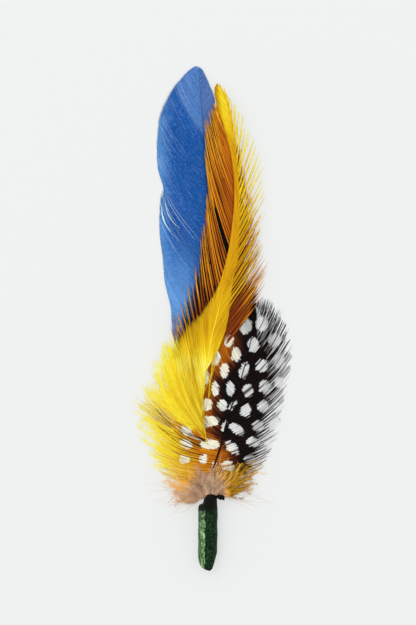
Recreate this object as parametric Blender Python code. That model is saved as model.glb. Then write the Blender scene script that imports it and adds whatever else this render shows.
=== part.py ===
"""Feather trim for a hat: four dyed feathers whose quills are bound with green floral tape.

The trim lies on a flat surface. +Y runs from the taped stem to the feather tips, +X is to the
right and +Z is up. The origin is the middle of the flat on the underside of the stem.

Each feather is one thin closed solid. Its shaft is a ridge in the middle, and its vanes are cut
into locks of barbs. A row of a feather's outline gives the height of a barb's root on the shaft,
then where the left barb and the right barb of that root end. All sizes are in millimetres.
"""
import math
import random

import bmesh
import bpy
import numpy as np

MM = 0.001

# The taped stem
STEM_WIDTH = 5.85
STEM_HEIGHT = 5.7
STEM_SIDES = 24
STEM_CUT_Y = -9.8
STEM_RIM_LEFT_Y = 9.5
STEM_RIM_RIGHT_Y = 12.2
STEM_BORE_WIDTH = 3.8
STEM_BORE_FLOOR = 0.6
STEM_BORE_ROOF = 5.1
STEM_BORE_END_Y = -7.9
STEM_CUT_ROUNDING = 0.5
STEM_CUT_LEFT_SLOPE, STEM_CUT_RIGHT_SLOPE = 0.20, 0.42
FOOT_HALF_ANGLE = 31.0
TAPE_EDGE_STEP = 0.16
TAPE_EDGE_START, TAPE_EDGE_STOP = 108.0, 215.0
TAPE_TURNS = [(-4.5, 1.0), (1.0, 0.97), (6.5, 1.0)]
RIM_LIP, RIM_HEM = 0.25, 0.9
FLAP_REACH, FLAP_SHARE = 1.9, 0.55

# The vanes: thickness, and the arch of the lowest feather that all the others lie on
VANE_THICKNESS = 0.30
BARB_TIP_THICKNESS = 0.20
TABLE_GAP = 0.16
ARCH_HALF_WIDTH = 16.0
ARCH_CROWN = [(12, 1.9), (40, 2.1), (80, 2.1), (110, 1.5), (130, 0.75), (141, 0.4)]
INNER_STEPS = 3
QUILL_STEPS = 4
QUILL_SIDE_SHARE = 0.4
LOCK_TAPER = 0.14

BLUE = dict(
    shaft=[(-7, -0.2), (12, -0.2), (40, -0.2), (70, 0.1), (103, 0.0), (115, -0.9), (127, -1.8),
           (139, -2.9)],
    rows=[(22, -1.5, 32, 0.3, 29), (29, -6.0, 45, 1.5, 36), (35, -9.2, 54, 2.4, 42),
          (41, -10.7, 61.5, 2.7, 49.5), (47, -11.3, 69, 2.8, 57), (54, -13.0, 76, 3.0, 64),
          (62, -13.7, 83.5, 3.0, 72), (69, -14.5, 90.5, 3.0, 79), (76, -14.2, 98, 3.0, 87),
          (81, -13.6, 103.5, 3.0, 91), (84, -14.3, 106, 3.0, 94), (91, -15.2, 112.5, 2.8, 101),
          (99, -15.2, 119.5, 2.4, 108.5), (106, -14.3, 126, 2.1, 115.5),
          (112, -12.2, 130.5, 1.8, 121), (119, -9.8, 134.4, 1.6, 126.5),
          (124, -8.3, 136, 1.3, 130.2), (130, -6.6, 137.7, -0.3, 133.8),
          (135, -5.1, 139, -1.5, 136.8), (138, -3.6, 140.1, -2.6, 139.5)],
    locks=32, split=(0.91, 0.97), bow=0.10, tip_scatter=0.015,
    quill_radius=0.75, tip_radius=0.22, ridge=(0.45, 0.16), keel=(0.90, 0.20),
    lift=[(0, 0.0)], left_lift=[(0, 0.0)], right_lift=[(0, 0.0)],
    colour=(0.03, 0.12, 0.40), roughness=0.55, seed=11)

ORANGE = dict(
    shaft=[(-6, -0.9), (12, -0.9), (21, -0.9), (30, -1.2), (39, -1.2), (48, -0.3), (57, 1.2),
           (66, 3.3), (75, 5.4), (82, 6.9), (91, 7.7), (100, 7.7), (109, 7.2), (116.5, 6.0),
           (122.5, 4.2), (127.2, 2.1)],
    rows=[(20, -5.4, 25.5, 0.3, 24), (26, -8.3, 37.5, 0.3, 31.5), (32, -10.1, 51, 0.0, 39),
          (37.5, -11.0, 60, 0.0, 45), (42, -10.9, 67, 0.9, 50), (46.5, -9.5, 69.4, 3.6, 54.8),
          (50, -8.0, 71.2, 7.2, 58.4), (53, -7.2, 73.6, 11.0, 61.4), (58.4, -6.0, 77.2, 17.0, 71),
          (61.4, -5.1, 79.3, 18.2, 75.7), (66, -3.3, 82.2, 18.5, 79.3), (70.3, -2.4, 86.4, 17.3, 83.4),
          (75, -1.8, 91.2, 15.8, 88.2), (81, -0.9, 97.7, 14.6, 94.2), (86.7, -0.4, 106.7, 13.1, 100),
          (92.7, -0.7, 115.6, 11.6, 106), (98.6, -0.4, 121, 9.8, 112.6), (104.6, 0.1, 124.6, 8.3, 118.6),
          (110.6, 0.6, 126.4, 6.9, 123.4), (116.5, 0.9, 127.2, 5.4, 126), (122.5, 1.2, 127.7, 3.6, 127.8),
          (126.5, 1.6, 128.4, 2.3, 128.5)],
    locks=32, split=(0.38, 0.66), bow=0.07, tip_scatter=0.12,
    quill_radius=0.35, tip_radius=0.14, ridge=(0.35, 0.12), keel=(0.35, 0.14),
    lift=[(13, 1.4), (19, 1.5)], left_lift=[(13, 1.4), (19, 1.5)], right_lift=[(13, 1.4), (19, 1.5)],
    colour=(0.55, 0.17, 0.02), roughness=0.5, seed=22)

YELLOW = dict(
    shaft=[(-6, 0.3), (12, 0.3), (19.7, 0.15), (26.8, -0.4), (31.6, -1.3), (37.5, -1.8), (43.5, -1.3),
           (49.5, -0.6), (55.4, 0.4), (61.4, 1.6), (66.8, 3.0), (76.9, 5.4), (86.7, 7.7), (92.7, 8.8),
           (98.6, 9.1), (104.6, 8.9), (110.6, 8.5), (116.5, 7.9), (124.6, 6.7), (130.5, 5.1),
           (132.8, 3.9)],
    rows=[(19.1, -11.9, 19.7, 0.6, 22), (22, -16.7, 21.5, 0.6, 25.5), (24, -17.9, 25, 0.3, 28.6),
          (26.2, -18.3, 28, 0.1, 31.6), (28.6, -20.9, 31.6, -0.1, 34.6), (31, -23.3, 34.6, -0.5, 37.5),
          (33.4, -23.5, 38.2, -0.7, 40.5), (36, -21.6, 42.2, -0.8, 43.5), (38.7, -19.9, 44.8, -0.6, 46.5),
          (41.7, -17.6, 47, -0.1, 49), (44.7, -15.5, 49.8, 0.6, 51), (47.7, -13.4, 53, 2.1, 53),
          (50.7, -11.3, 56, 3.6, 55.4), (53.6, -9.2, 59.6, 4.8, 57.8), (56.6, -7.2, 62.6, 5.7, 61.4),
          (61, -4.5, 64.7, 6.6, 66.8), (65, -1.5, 66.8, 7.2, 71.5), (69, 0.6, 70.3, 8.3, 76.3),
          (73.3, 2.4, 74.8, 10.7, 80.5), (77.8, 4.2, 80.2, 13.7, 85.8), (82.2, 5.7, 85.8, 16.1, 91.8),
          (88.2, 6.9, 92.4, 17.0, 98.6), (94.2, 7.5, 100, 16.7, 106), (98.6, 7.6, 106, 15.5, 112),
          (103, 7.2, 112.6, 14.0, 116.8), (107.6, 6.0, 117.7, 12.2, 121.6), (112, 4.5, 122.2, 10.4, 125.8),
          (116.5, 3.0, 126.4, 8.6, 128.4), (120.4, 1.9, 129.3, 7.2, 130), (124, 1.5, 131.4, 6.0, 131.1),
          (127, 1.6, 133, 5.1, 132.3), (130, 2.1, 133.8, 4.2, 133.5), (132.3, 2.7, 134.5, 3.4, 134.3)],
    locks=38, split=(0.32, 0.60), bow=0.07, tip_scatter=0.12,
    quill_radius=0.35, tip_radius=0.14, ridge=(0.35, 0.12), keel=(0.35, 0.14),
    lift=[(13, 1.4), (19, 2.2), (26, 2.4)], left_lift=[(13, 1.4), (19, 2.2), (26, 2.4)],
    right_lift=[(13, 1.4), (19, 2.2), (26, 2.4)],
    colour=(0.85, 0.55, 0.02), roughness=0.5, seed=33)

GUINEA = dict(
    shaft=[(-6, -0.1), (12.2, 0.0), (16.7, 0.75), (20.3, 1.5), (23.2, 2.5), (26.5, 3.6), (30.1, 4.5),
           (37, 6.4), (43, 8.6), (51, 11.0), (60, 13.1), (68, 14.0)],
    rows=[(13.4, -11.9, 10.1, 14.3, 13.1), (14.6, -12.2, 13.1, 16.1, 15.5),
          (15.8, -12.8, 15.8, 16.4, 17.9), (17.3, -14.3, 18.5, 16.7, 20.3),
          (19.1, -15.2, 21.2, 17.9, 22.9), (20.9, -15.5, 25, 19.4, 25.6), (22.6, -14.3, 28.3, 20.6, 28.6),
          (24.1, -14.3, 31, 21.5, 31.6), (25.6, -16.4, 34.6, 22.1, 34.3), (27.1, -14.9, 37.8, 22.4, 36.7),
          (28.3, -5.4, 33.4, 22.6, 38.7), (29.8, 0.3, 33.4, 22.9, 40.8), (31.6, -0.3, 38.1, 23.2, 43.5),
          (34.6, -0.3, 43, 23.8, 47), (37.5, -0.3, 47, 24.4, 50.7), (40.5, -0.3, 50.7, 24.6, 54.2),
          (43.5, 0.9, 54.2, 24.1, 57.5), (47, 2.7, 57, 23.2, 60.5), (51.3, 4.8, 60, 21.8, 63.5),
          (55.4, 7.2, 63, 20.0, 66), (59.6, 9.5, 66, 17.9, 68), (63.8, 11.6, 68, 16.1, 69.1),
          (67.3, 13.4, 69.4, 14.6, 69.7)],
    locks=36, split=(0.52, 0.76), bow=0.08, tip_scatter=0.08,
    quill_radius=0.42, tip_radius=0.16, ridge=(0.40, 0.12), keel=(0.40, 0.16),
    lift=[(12, 2.45), (20, 3.2), (30, 3.3), (44, 0.8)],
    left_lift=[(12, 2.45), (20, 3.2), (29, 3.3), (31.5, 0.8)], right_lift=[(0, 0.0)],
    colour=(0.04, 0.02, 0.015), roughness=0.45, seed=44)


def along(points, at):
    """The value at a height of a list of (height, value) points, straight between them."""
    return float(np.interp(at, [p[0] for p in points], [p[1] for p in points]))


def smooth_line(points):
    """A smooth curve through (height, sideways) points, as a function of the height."""
    heights = np.array([p[0] for p in points], float)
    values = np.array([p[1] for p in points], float)
    slopes = np.gradient(values, heights)

    def value(at):
        at = min(max(at, heights[0]), heights[-1])
        i = min(int(np.searchsorted(heights, at, side="right")) - 1, len(heights) - 2)
        span = heights[i + 1] - heights[i]
        t = (at - heights[i]) / span
        start = (2 * t ** 3 - 3 * t ** 2 + 1) * values[i] + (t ** 3 - 2 * t ** 2 + t) * span * slopes[i]
        end = (3 * t ** 2 - 2 * t ** 3) * values[i + 1] + (t ** 3 - t ** 2) * span * slopes[i + 1]
        return float(start + end)
    return value


blue_shaft = smooth_line(BLUE["shaft"])


def bed(x, y):
    """Height of the lowest feather's vane: an arch across its shaft, down to the table at its edges."""
    crown = along(ARCH_CROWN, y)
    reach = min(1.0, abs(x - blue_shaft(y)) / ARCH_HALF_WIDTH)
    return TABLE_GAP + (crown - TABLE_GAP) * (1 - reach ** 2) ** 2


def barb_point(root, tip, bow, t):
    """A point on a barb: a curve that leaves the shaft wide and bends towards the feather's tip."""
    chord = tip - root
    outward = np.array([-chord[1], chord[0]]) if chord[0] < 0 else np.array([chord[1], -chord[0]])
    middle = (root + tip) / 2 + outward * bow
    return (1 - t) ** 2 * root + 2 * t * (1 - t) * middle + t * t * tip


def feather_sheet(bm, plan):
    """The feather as a flat net of faces, with each point's thickness kept on the mesh."""
    rng = random.Random(plan["seed"])
    upper = bm.verts.layers.float.new("upper")
    lower = bm.verts.layers.float.new("lower")
    shaft = smooth_line(plan["shaft"])
    rows = plan["rows"]
    quill_end, quill_top = plan["shaft"][0][0], rows[0][0]
    count = plan["locks"]

    def point(x, y, lift, over, under):
        vert = bm.verts.new((x * MM, y * MM, (bed(x, y) + lift) * MM))
        vert[upper], vert[lower] = over * MM, under * MM
        return vert

    # Stations up the shaft: the bare quill first, then one for each gap between locks
    heights = [quill_end + (quill_top - quill_end) * i / QUILL_STEPS for i in range(QUILL_STEPS)]
    places = [i * (len(rows) - 1) / count for i in range(count + 1)]
    row_table = [[(i, row[c]) for i, row in enumerate(rows)] for c in range(5)]
    heights += [along(row_table[0], place) for place in places]
    left_edge, middle, right_edge = [], [], []
    for y in heights:
        ahead = min(1.0, max(0.0, (y - quill_top) / (heights[-1] - quill_top)))
        radius = plan["quill_radius"] + (plan["tip_radius"] - plan["quill_radius"]) * ahead
        ridge = plan["ridge"][0] + (plan["ridge"][1] - plan["ridge"][0]) * ahead
        keel = plan["keel"][0] + (plan["keel"][1] - plan["keel"][0]) * ahead
        slope = shaft(y + 0.5) - shaft(y - 0.5)
        across = np.array([-1.0, slope]) / math.hypot(1.0, slope)
        side = VANE_THICKNESS / 2 if y >= quill_top else QUILL_SIDE_SHARE * plan["quill_radius"]
        lift = along(plan["lift"], y)
        x = shaft(y)
        left_edge.append(point(x + across[0] * radius, y + across[1] * radius, lift, side, side))
        middle.append(point(x, y, lift, ridge, keel))
        right_edge.append(point(x - across[0] * radius, y - across[1] * radius, lift, side, side))
    for i in range(len(heights) - 1):
        bm.faces.new((left_edge[i], left_edge[i + 1], middle[i + 1], middle[i]))
        bm.faces.new((middle[i], middle[i + 1], right_edge[i + 1], right_edge[i]))

    # The two vanes: joined near the shaft, then split into locks that narrow to a point
    for edge, column, tip_lifts in ((left_edge, 1, plan["left_lift"]), (right_edge, 3, plan["right_lift"])):
        roots = edge[QUILL_STEPS:]
        tips = [np.array([along(row_table[column], p), along(row_table[column + 1], p)]) for p in places]
        splits = [rng.uniform(*plan["split"]) for _ in places]

        def at(line, t):
            root = np.array([roots[line].co.x / MM, roots[line].co.y / MM])
            spot = barb_point(root, tips[line], plan["bow"], t)
            y = heights[QUILL_STEPS + line]
            return spot, along(plan["lift"], y) * (1 - t) + along(tip_lifts, y) * t

        half = VANE_THICKNESS / 2
        lines = []
        for line, root in enumerate(roots):
            points = [root]
            for step in range(1, INNER_STEPS + 1):
                spot, lift = at(line, splits[line] * step / INNER_STEPS)
                points.append(point(spot[0], spot[1], lift, half, half))
            lines.append(points)
        for lock in range(count):
            near, far = lines[lock], lines[lock + 1]
            for step in range(INNER_STEPS):
                bm.faces.new((near[step], near[step + 1], far[step + 1], far[step]))
            waist = []
            for line, other in ((lock, lock + 1), (lock + 1, lock)):
                own, lift = at(line, (1 + splits[line]) / 2)
                facing, other_lift = at(other, (1 + splits[other]) / 2)
                spot = own + (facing - own) * LOCK_TAPER
                waist.append(point(spot[0], spot[1], lift + (other_lift - lift) * LOCK_TAPER, half, half))
            reach = 1 - plan["tip_scatter"] * rng.random()
            (first, lift_a), (second, lift_b) = at(lock, reach), at(lock + 1, reach)
            thin = BARB_TIP_THICKNESS / 2
            tip = point(*((first + second) / 2), (lift_a + lift_b) / 2, thin, thin)
            bm.faces.new((near[-1], waist[0], waist[1], far[-1]))
            bm.faces.new((waist[0], tip, waist[1]))
    return upper, lower


def make_feather(name, plan):
    """One feather: its flat net pushed up and down by its thickness into a closed solid."""
    bm = bmesh.new()
    upper, lower = feather_sheet(bm, plan)
    under = list(bm.verts)
    raised = bmesh.ops.extrude_face_region(bm, geom=bm.faces[:])["geom"]
    for vert in (v for v in raised if isinstance(v, bmesh.types.BMVert)):
        vert.co.z += vert[upper]
    for vert in under:
        vert.co.z -= vert[lower]
    return finish(name, bm, plan["colour"], plan["roughness"], smooth=False)


def stem_ring(bm, y_of_x, width, low, high, step=0.0):
    """A closed ring of points round the stem, flat below where it rests; step raises the tape's edge."""
    ring = []
    for side in range(STEM_SIDES):
        angle = math.radians(-90 + 360 * side / STEM_SIDES)
        degrees = (math.degrees(angle)) % 360
        layer = step if TAPE_EDGE_START <= degrees <= TAPE_EDGE_STOP else 0.0
        x = (width / 2 + layer) * math.cos(angle)
        z = (low + high) / 2 + ((high - low) / 2 + layer) * math.sin(angle)
        if low == 0.0 and abs((degrees - 270 + 180) % 360 - 180) <= FOOT_HALF_ANGLE:
            z = 0.0
        ring.append(bm.verts.new((x * MM, y_of_x(x) * MM, z * MM)))
    return ring


def make_stem():
    """The tape wrapped round the quills: a tube, closed at its cut end, with a flap at its rim."""
    bm = bmesh.new()

    def rim(x):
        share = (x / STEM_WIDTH) + 0.5
        return STEM_RIM_LEFT_Y + (STEM_RIM_RIGHT_Y - STEM_RIM_LEFT_Y) * share

    def cut(inset):
        def y(x):
            slope = STEM_CUT_RIGHT_SLOPE if x > 0 else STEM_CUT_LEFT_SLOPE
            return STEM_CUT_Y + inset + slope * x ** 2
        return y

    # From the cut end up the outside to the rim, over the lip, and down the bore to its end
    rounding = STEM_CUT_ROUNDING
    rings = [stem_ring(bm, cut(0.0), STEM_WIDTH - 2 * rounding, rounding, STEM_HEIGHT - rounding),
             stem_ring(bm, cut(rounding), STEM_WIDTH, 0.0, STEM_HEIGHT, TAPE_EDGE_STEP)]
    for height, share in TAPE_TURNS:
        rings.append(stem_ring(bm, lambda x: height, STEM_WIDTH * share, 0.0, STEM_HEIGHT * share,
                               TAPE_EDGE_STEP))
    rings.append(stem_ring(bm, lambda x: rim(x) - RIM_HEM, STEM_WIDTH, 0.0, STEM_HEIGHT, TAPE_EDGE_STEP))
    rings.append(stem_ring(bm, rim, STEM_WIDTH - 2 * RIM_LIP, RIM_LIP, STEM_HEIGHT - RIM_LIP))
    rings.append(stem_ring(bm, lambda x: rim(x) - RIM_LIP, STEM_BORE_WIDTH, STEM_BORE_FLOOR, STEM_BORE_ROOF))
    rings.append(stem_ring(bm, lambda x: STEM_BORE_END_Y, STEM_BORE_WIDTH, STEM_BORE_FLOOR, STEM_BORE_ROOF))
    for ring, onward in zip(rings, rings[1:]):
        for side in range(STEM_SIDES):
            after = (side + 1) % STEM_SIDES
            bm.faces.new((ring[side], ring[after], onward[after], onward[side]))
    bm.faces.new(rings[0])
    bm.faces.new(rings[-1])

    # The loose end of the tape stands out at the rim on the right
    right_side = STEM_SIDES // 4
    hem, lip = rings[-4][right_side], rings[-3][right_side]
    flap_root = [face for face in bm.faces if hem in face.verts and lip in face.verts][:1]
    grown = bmesh.ops.extrude_discrete_faces(bm, faces=flap_root)["faces"]
    centre = grown[0].calc_center_median()
    for vert in grown[0].verts:
        vert.co = centre + (vert.co - centre) * FLAP_SHARE
        vert.co.x += FLAP_REACH * MM
    return finish("stem_wrap", bm, (0.03, 0.10, 0.03), 0.6, smooth=True)


def finish(name, bm, colour, roughness, smooth):
    """Turn the faces outwards, give the piece its material and put it in the scene."""
    bmesh.ops.recalc_face_normals(bm, faces=bm.faces[:])
    mesh = bpy.data.meshes.new(name)
    bm.to_mesh(mesh)
    bm.free()
    if smooth:
        mesh.shade_smooth()
        mesh.set_sharp_from_angle(angle=math.radians(40))
    material = bpy.data.materials.new(name)
    material.use_nodes = True
    shader = material.node_tree.nodes["Principled BSDF"]
    shader.inputs["Base Color"].default_value = (*colour, 1.0)
    shader.inputs["Roughness"].default_value = roughness
    shader.inputs["Metallic"].default_value = 0.0
    mesh.materials.append(material)
    piece = bpy.data.objects.new(name, mesh)
    bpy.context.scene.collection.objects.link(piece)
    return piece


for old in list(bpy.data.objects):
    bpy.data.objects.remove(old, do_unlink=True)

make_stem()
make_feather("blue_goose_feather", BLUE)
make_feather("orange_hackle_feather", ORANGE)
make_feather("yellow_hackle_feather", YELLOW)
make_feather("guinea_fowl_feather", GUINEA)
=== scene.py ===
"""Looks of a feather hat trim: four dyed feathers bound at the quills with green floral tape.

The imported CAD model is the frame. Each feather's plain solid is replaced by a mesh that has every
barb, and the taped stem by a wrinkled wrap. Sizes are in millimetres until a mesh is made.
"""
import math

import bmesh
import bpy
import numpy as np
from mathutils import Matrix, Vector, noise


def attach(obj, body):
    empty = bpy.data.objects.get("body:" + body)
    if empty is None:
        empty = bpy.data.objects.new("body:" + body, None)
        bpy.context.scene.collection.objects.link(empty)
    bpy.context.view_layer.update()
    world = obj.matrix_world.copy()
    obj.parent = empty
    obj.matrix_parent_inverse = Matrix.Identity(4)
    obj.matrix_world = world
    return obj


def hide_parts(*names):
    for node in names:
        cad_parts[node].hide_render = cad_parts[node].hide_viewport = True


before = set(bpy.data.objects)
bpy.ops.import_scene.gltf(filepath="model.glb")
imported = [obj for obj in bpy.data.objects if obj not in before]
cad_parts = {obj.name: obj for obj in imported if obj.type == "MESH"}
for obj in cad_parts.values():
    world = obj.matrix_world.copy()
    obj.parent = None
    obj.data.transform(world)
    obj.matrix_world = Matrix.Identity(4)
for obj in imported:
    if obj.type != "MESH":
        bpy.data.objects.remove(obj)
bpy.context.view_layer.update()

MM = 0.001


# Studio: a white sheet lit from below, as a light table is, in an even white room with one large lamp.
# The camera looks straight down on the trim, as the photographer's did, with the feather tips at the top.
def plug(tree, value, socket):
    """Feeds a shader socket from another node's output, or sets the socket's own value."""
    if isinstance(value, bpy.types.NodeSocket):
        tree.links.new(value, socket)
    else:
        socket.default_value = value


def add(tree, kind, inputs=None, **settings):
    """Adds a node, sets its choices and feeds its inputs, which are named or numbered."""
    made = tree.nodes.new(kind)
    for name, value in settings.items():
        setattr(made, name, value)
    for name, value in (inputs or {}).items():
        plug(tree, value, made.inputs[name])
    return made


def dye(code):
    """A colour as the eye sees it, written in hex, turned into the linear values of a shader."""
    seen = [int(code[i:i + 2], 16) / 255 for i in (1, 3, 5)]
    return tuple(c / 12.92 if c <= 0.04045 else ((c + 0.055) / 1.055) ** 2.4 for c in seen) + (1.0,)


def new_material(name, roughness):
    """A material with its own Principled shader, its node tree and that shader."""
    material = bpy.data.materials.new(name)
    material.use_nodes = True
    shader = material.node_tree.nodes["Principled BSDF"]
    shader.inputs["Roughness"].default_value = roughness
    return material, material.node_tree, shader


def make_speckle():
    """The group for cloudy and grainy noise that is fixed to the piece: its scale is in spots a metre."""
    tree = bpy.data.node_groups.new("speckle", "ShaderNodeTree")
    for name, kind in (("Scale", "INPUT"), ("Detail", "INPUT"), ("Amount", "OUTPUT")):
        tree.interface.new_socket(name, in_out=kind, socket_type="NodeSocketFloat")
    given, out = tree.nodes.new("NodeGroupInput"), tree.nodes.new("NodeGroupOutput")
    where = add(tree, "ShaderNodeTexCoord").outputs["Object"]
    spots = add(tree, "ShaderNodeTexNoise", {"Vector": where, "Scale": given.outputs["Scale"],
                                             "Detail": given.outputs["Detail"]})
    plug(tree, spots.outputs["Fac"], out.inputs["Amount"])
    return tree


speckle_group = make_speckle()


def speckle(tree, scale, detail=3.0):
    """Places the speckle group in a material."""
    return add(tree, "ShaderNodeGroup", {"Scale": scale, "Detail": detail}, node_tree=speckle_group).outputs[0]


FLOOR_SIZE = 1600.0
FLOOR_GAP = 0.02
PICTURE_HEIGHT = 186.25
TRIM_MID_HEIGHT = 1.5
CAMERA_Y = 66.6
LENS, SENSOR = 100.0, 36.0

paper, paper_tree, paper_shader = new_material("floor_paper", 0.9)
paper_bump = add(paper_tree, "ShaderNodeBump", {"Height": speckle(paper_tree, 900.0), "Strength": 0.05,
                                                "Distance": 0.00005})
paper_shader.inputs["Base Color"].default_value = (0.34, 0.348, 0.345, 1.0)
paper_shader.inputs["Emission Color"].default_value = (0.985, 1.0, 0.993, 1.0)
paper_shader.inputs["Emission Strength"].default_value = 0.515
paper_shader.inputs["Specular IOR Level"].default_value = 0.2
plug(paper_tree, paper_bump.outputs["Normal"], paper_shader.inputs["Normal"])

bm = bmesh.new()
bmesh.ops.create_grid(bm, x_segments=1, y_segments=1, size=FLOOR_SIZE / 2 * MM)
bmesh.ops.translate(bm, verts=bm.verts, vec=(0.0, CAMERA_Y * MM, -FLOOR_GAP * MM))
floor_mesh = bpy.data.meshes.new("floor")
bm.to_mesh(floor_mesh)
bm.free()
floor_mesh.materials.append(paper)
floor = bpy.data.objects.new("floor", floor_mesh)
bpy.context.scene.collection.objects.link(floor)

camera_data = bpy.data.cameras.new("camera")
camera_data.lens, camera_data.sensor_width = LENS, SENSOR
camera_data.clip_start, camera_data.clip_end = 0.01, 10.0
camera = bpy.data.objects.new("camera", camera_data)
camera.location = (0.0, CAMERA_Y * MM, (PICTURE_HEIGHT * LENS / SENSOR + TRIM_MID_HEIGHT) * MM)
bpy.context.scene.collection.objects.link(camera)
bpy.context.scene.camera = camera

WORLD_STRENGTH = 0.88
LAMP_PLACE, LAMP_AIM, LAMP_SIZE, LAMP_WATTS = (-0.5, 0.7, 1.8), (0.0, 0.066, 0.0), 1.4, 9.0

world = bpy.data.worlds.new("white_room")
world.use_nodes = True
world.node_tree.nodes["Background"].inputs["Color"].default_value = (1.0, 1.0, 1.0, 1.0)
world.node_tree.nodes["Background"].inputs["Strength"].default_value = WORLD_STRENGTH
bpy.context.scene.world = world
bpy.context.scene.view_settings.view_transform = "Standard"

lamp_data = bpy.data.lights.new("soft_lamp", "AREA")
lamp_data.shape, lamp_data.size, lamp_data.energy = "SQUARE", LAMP_SIZE, LAMP_WATTS
lamp = bpy.data.objects.new("soft_lamp", lamp_data)
lamp.location = LAMP_PLACE
lamp.rotation_euler = (Vector(LAMP_AIM) - Vector(LAMP_PLACE)).to_track_quat("-Z", "Y").to_euler()
bpy.context.scene.collection.objects.link(lamp)


# Blue goose feather: a broad flat feather dyed blue, the lowest and longest of the four.
# Its barbs lie hooked together in a closed vane on each side of a thin dark shaft, and the quill
# goes down into the taped stem.
BLUE_SHAFT = [(-7, -0.2), (12, -0.2), (40, -0.2), (70, 0.1), (103, 0.0), (115, -0.9), (127, -1.8),
              (139, -2.9)]
# Each row is a barb: the height of its root on the shaft, then the place of its tip
BLUE_LEFT = [(22, -1.5, 32), (29, -6.0, 45), (35, -9.2, 54), (41, -10.7, 61.5), (47, -11.3, 69),
             (54, -13.0, 76), (62, -13.7, 83.5), (69, -14.6, 90.5), (76, -14.6, 98), (79.2, -14.2, 102.4),
             (80.8, -13.5, 104.6), (82.0, -13.9, 106.2), (85, -14.8, 108.7), (91, -15.4, 113), (99, -15.4, 120),
             (106, -14.5, 126.4), (112, -12.5, 130.8), (119, -10.0, 134.7), (124, -8.5, 136.3),
             (130, -6.8, 138.1), (135, -5.2, 139.4), (138, -4.0, 140.1), (139, -3.4, 140.2)]
BLUE_RIGHT = [(22, 0.3, 29), (29, 1.5, 36), (35, 2.4, 42), (41, 2.7, 49.5), (54, 3.0, 64), (69, 3.0, 79),
              (84, 3.0, 94), (91, 2.8, 101), (99, 2.6, 108.5), (106, 2.5, 115.5), (112, 2.3, 121.5),
              (118, 2.2, 126.6), (123, 2.1, 130.2), (127, 1.5, 132.5), (131, 0.6, 134.6), (134, -0.2, 136.5),
              (136.5, -1.1, 138.3), (138.2, -1.9, 139.5), (139, -2.6, 140.0)]
BLUE_BARBS, BLUE_BARB_WIDTH, BLUE_BARB_HEIGHT = 290, 0.44, 0.08
# A split is the root height where neighbouring barbs part, how far, from where on, and how many it moves
BLUE_SPLITS = [(75.4, 0.10, 0.6, 0.8), (77.2, 0.14, 0.55, 1.0), (98.0, 0.08, 0.7, 0.8),
               (58.0, 0.08, 0.6, 1.0), (127.0, 0.10, 0.7, 0.8)]
TABLE_GAP = 0.16
ARCH_HALF_WIDTH = 16.0
ARCH_CROWN = [(12, 1.9), (40, 2.1), (80, 2.1), (110, 1.5), (130, 0.75), (141, 0.4)]
LOWEST_STRAND = 0.10


def along(points, at):
    """Straight between (place, value) pairs, or one number for every place."""
    if isinstance(points, (int, float)):
        return np.full(np.shape(at), float(points))
    return np.interp(at, [p[0] for p in points], [p[1] for p in points])


def smooth_line(points):
    """The smooth curve through (place, value) pairs that the CAD's shafts follow."""
    places = np.array([p[0] for p in points], float)
    values = np.array([p[1] for p in points], float)
    slopes = np.gradient(values, places)

    def value(at):
        at = np.clip(np.asarray(at, float), places[0], places[-1])
        i = np.clip(np.searchsorted(places, at, side="right") - 1, 0, len(places) - 2)
        span = places[i + 1] - places[i]
        t = (at - places[i]) / span
        start = (2 * t ** 3 - 3 * t ** 2 + 1) * values[i] + (t ** 3 - 2 * t ** 2 + t) * span * slopes[i]
        end = (3 * t ** 2 - 2 * t ** 3) * values[i + 1] + (t ** 3 - t ** 2) * span * slopes[i + 1]
        return start + end
    return value


blue_shaft = smooth_line(BLUE_SHAFT)


def bed(x, y):
    """Height of the blue vane that the other feathers lie on: an arch, down to the table at its edges."""
    crown = along(ARCH_CROWN, y)
    reach = np.minimum(1.0, np.abs(x - blue_shaft(y)) / ARCH_HALF_WIDTH)
    return TABLE_GAP + (crown - TABLE_GAP) * (1 - reach ** 2) ** 2


def step_up(value, start, stop):
    """0 before start, 1 after stop and smooth between."""
    t = np.clip((value - start) / (stop - start), 0.0, 1.0)
    return t * t * (3 - 2 * t)


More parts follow.
